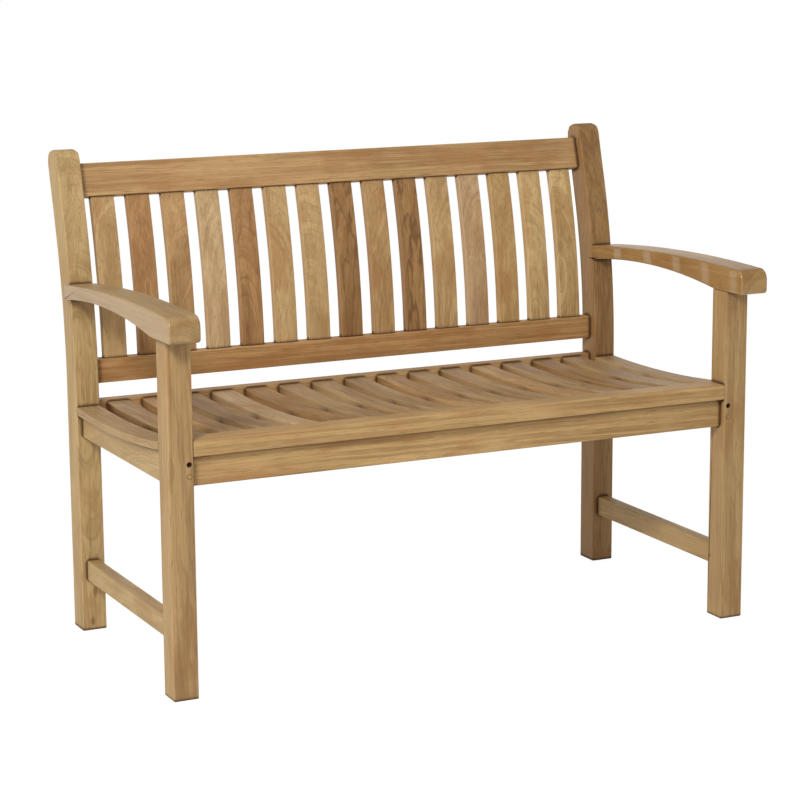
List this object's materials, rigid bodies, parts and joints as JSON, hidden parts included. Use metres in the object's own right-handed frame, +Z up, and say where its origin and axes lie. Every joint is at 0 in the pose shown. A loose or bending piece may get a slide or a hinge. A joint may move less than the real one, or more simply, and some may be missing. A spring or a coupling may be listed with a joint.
{
  "type": "garden bench",
  "caption": "Slatted hardwood garden bench with curved armrests, a dished seat, a raked back of vertical slats and side stretchers.",
  "frame": {"origin": "on the ground, under the middle of the bench's outer box", "axes": "+X to the right along the seat as seen from the front, +Y from the front to the back, +Z up"},
  "size_m": [1.162, 0.6396, 0.887],
  "materials": {
    "teak_legs": "oiled solid teak, pale honey with streaks along the leg, satin",
    "teak_arms": "oiled solid teak, tan with a soft grey sheen on top, satin",
    "teak_rails": "oiled solid teak with fine lengthwise grain, satin",
    "teak_rails_warm": "oiled solid teak, orange brown, satin",
    "teak_slats_honey": "oiled teak slat, honey, satin",
    "teak_slats_orange": "oiled teak slat, orange brown, satin",
    "teak_slats_brown": "oiled teak slat, dark reddish brown, satin",
    "teak_slats_yellow": "oiled teak slat, golden yellow, satin",
    "teak_slats_pale": "oiled teak slat, pale olive, satin",
    "teak_slats_grey": "oiled teak slat, greyish pink brown, satin",
    "peg_teak": "teak plug with its end grain outwards",
    "peg_dark": "dark hardwood peg end",
    "screw_steel": "zinc-plated screw"
  },
  "bodies": {
    "root": {"front_leg_left": "teak_legs", "front_leg_right": "teak_legs", "rear_leg_left": "teak_legs", "rear_leg_right": "teak_legs", "armrest_left": "teak_arms", "armrest_right": "teak_arms", "back_top_rail": "teak_rails", "back_bottom_rail": "teak_rails_warm", "back_slat_01": "teak_slats_honey", "back_slat_02": "teak_slats_orange", "back_slat_03": "teak_slats_orange", "back_slat_04": "teak_slats_honey", "back_slat_05": "teak_slats_brown", "back_slat_06": "teak_slats_yellow", "back_slat_07": "teak_slats_pale", "back_slat_08": "teak_slats_brown", "back_slat_09": "teak_slats_yellow", "back_slat_10": "teak_slats_brown", "back_slat_11": "teak_slats_yellow", "back_slat_12": "teak_slats_grey", "back_slat_13": "teak_slats_orange", "back_slat_14": "teak_slats_yellow", "back_slat_15": "teak_slats_yellow", "seat_front_rail": "teak_rails", "front_apron": "teak_rails", "rear_seat_rail": "teak_rails_warm", "seat_bearer": "teak_rails_warm", "side_apron_left": "teak_legs", "side_apron_right": "teak_legs", "side_stretcher_left": "teak_legs", "side_stretcher_right": "teak_legs", "seat_slat_01": "teak_slats_grey", "seat_slat_02": "teak_slats_grey", "seat_slat_03": "teak_slats_brown", "seat_slat_04": "teak_slats_grey", "seat_slat_05": "teak_slats_honey", "seat_slat_06": "teak_slats_grey", "seat_slat_07": "teak_slats_brown", "seat_slat_08": "teak_slats_grey", "seat_slat_09": "teak_slats_honey", "seat_slat_10": "teak_slats_grey", "seat_slat_11": "teak_slats_brown", "seat_slat_12": "teak_slats_grey", "seat_slat_13": "teak_slats_honey", "seat_slat_14": "teak_slats_pale", "seat_slat_15": "teak_slats_grey", "seat_end_slat_left": "teak_slats_grey", "seat_end_slat_right": "teak_slats_grey", "apron_screws": "screw_steel", "leg_plugs": "peg_teak", "arm_pegs": "peg_dark", "stretcher_pegs": "peg_dark", "rail_pegs": "peg_dark", "bearer_screws": "screw_steel"}
  },
  "joints": []
}
